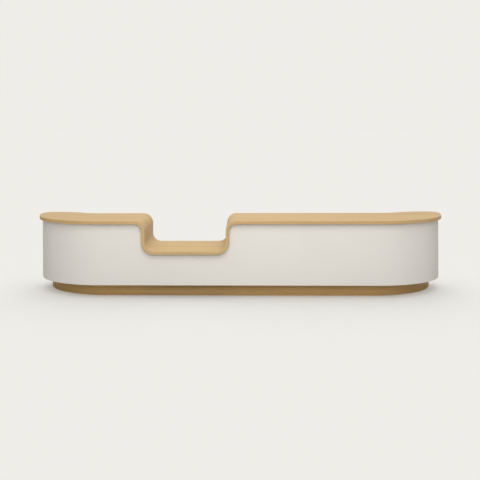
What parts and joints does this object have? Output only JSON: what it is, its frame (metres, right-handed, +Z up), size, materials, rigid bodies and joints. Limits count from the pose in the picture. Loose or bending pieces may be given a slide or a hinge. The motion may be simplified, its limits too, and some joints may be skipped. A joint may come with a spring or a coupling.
{
  "type": "reception desk",
  "caption": "Long reception desk with rounded ends: an oak ribbon counter dips to a low counter, over an off-white body on an oak plinth, with drawers, shelves and a cupboard for staff.",
  "frame": {"origin": "on the floor, in the middle of the desk's length and depth", "axes": "+X along the desk to the visitors' right, +Y from the visitors to the staff, +Z up"},
  "size_m": [6.44, 1.03, 1.15],
  "materials": {
    "oak": "matt oiled oak veneer, grain along the ribbon",
    "plinth_oak": "matt oiled oak, a shade deeper than the top",
    "lacquer": "off-white matt lacquer on board",
    "melamine": "off-white melamine on board",
    "steel": "zinc-plated steel",
    "painted_steel": "grey powder coat"
  },
  "bodies": {
    "desk": {"counter_left": "oak", "notch_bend_left": "oak", "low_counter": "oak", "notch_bend_right": "oak", "counter_right": "oak", "plinth_front": "plinth_oak", "plinth_end_left": "plinth_oak", "plinth_end_right": "plinth_oak", "plinth_back_left": "plinth_oak", "plinth_back_right": "plinth_oak", "plinth_knee_left": "plinth_oak", "plinth_knee_right": "plinth_oak", "front_panel_notched": "lacquer", "front_panel_right": "lacquer", "end_skin_left": "lacquer", "end_skin_right": "lacquer", "end_former_left_bottom": "melamine", "end_former_left_top": "melamine", "end_former_right_bottom": "melamine", "end_former_right_top": "melamine", "base_left": "melamine", "base_right": "melamine", "gable_left": "melamine", "gable_right": "melamine", "knee_panel_left": "melamine", "knee_panel_right": "melamine", "divider_1": "melamine", "divider_2": "melamine", "back_board_left": "melamine", "back_board_right": "melamine", "knee_back": "melamine", "left_shelf": "melamine", "open_shelf_1": "melamine", "open_shelf_2": "melamine", "cupboard_shelf": "melamine", "drawer_top_board": "melamine", "drawer_1_runner_left": "steel", "drawer_1_runner_right": "steel", "drawer_2_runner_left": "steel", "drawer_2_runner_right": "steel", "drawer_3_runner_left": "steel", "drawer_3_runner_right": "steel", "door_left_pivot_bottom": "steel", "door_left_pivot_top": "steel", "door_right_pivot_bottom": "steel", "door_right_pivot_top": "steel", "cable_tray": "painted_steel"},
    "drawer_1": {"drawer_1_box": "melamine", "drawer_1_front": "lacquer", "drawer_1_pull": "oak"},
    "drawer_2": {"drawer_2_box": "melamine", "drawer_2_front": "lacquer", "drawer_2_pull": "oak"},
    "drawer_3": {"drawer_3_box": "melamine", "drawer_3_front": "lacquer", "drawer_3_pull": "oak"},
    "door_left": {"door_left": "lacquer", "door_left_pull": "oak"},
    "door_right": {"door_right": "lacquer", "door_right_pull": "oak"}
  },
  "joints": [
    {"name": "drawer_1_slide", "type": "slide", "parent": "desk", "child": "drawer_1", "axis": [0, 1, 0], "range_m": [0, 0.45]},
    {"name": "drawer_2_slide", "type": "slide", "parent": "desk", "child": "drawer_2", "axis": [0, 1, 0], "range_m": [0, 0.45]},
    {"name": "drawer_3_slide", "type": "slide", "parent": "desk", "child": "drawer_3", "axis": [0, 1, 0], "range_m": [0, 0.45]},
    {"name": "door_left_hinge", "type": "hinge", "parent": "desk", "child": "door_left", "pos_m": [1.3898, 0.2887, 0.65], "axis": [0, 0, 1], "range_deg": [0, 105]},
    {"name": "door_right_hinge", "type": "hinge", "parent": "desk", "child": "door_right", "pos_m": [2.0796, 0.2887, 0.65], "axis": [0, 0, -1], "range_deg": [0, 105]}
  ]
}
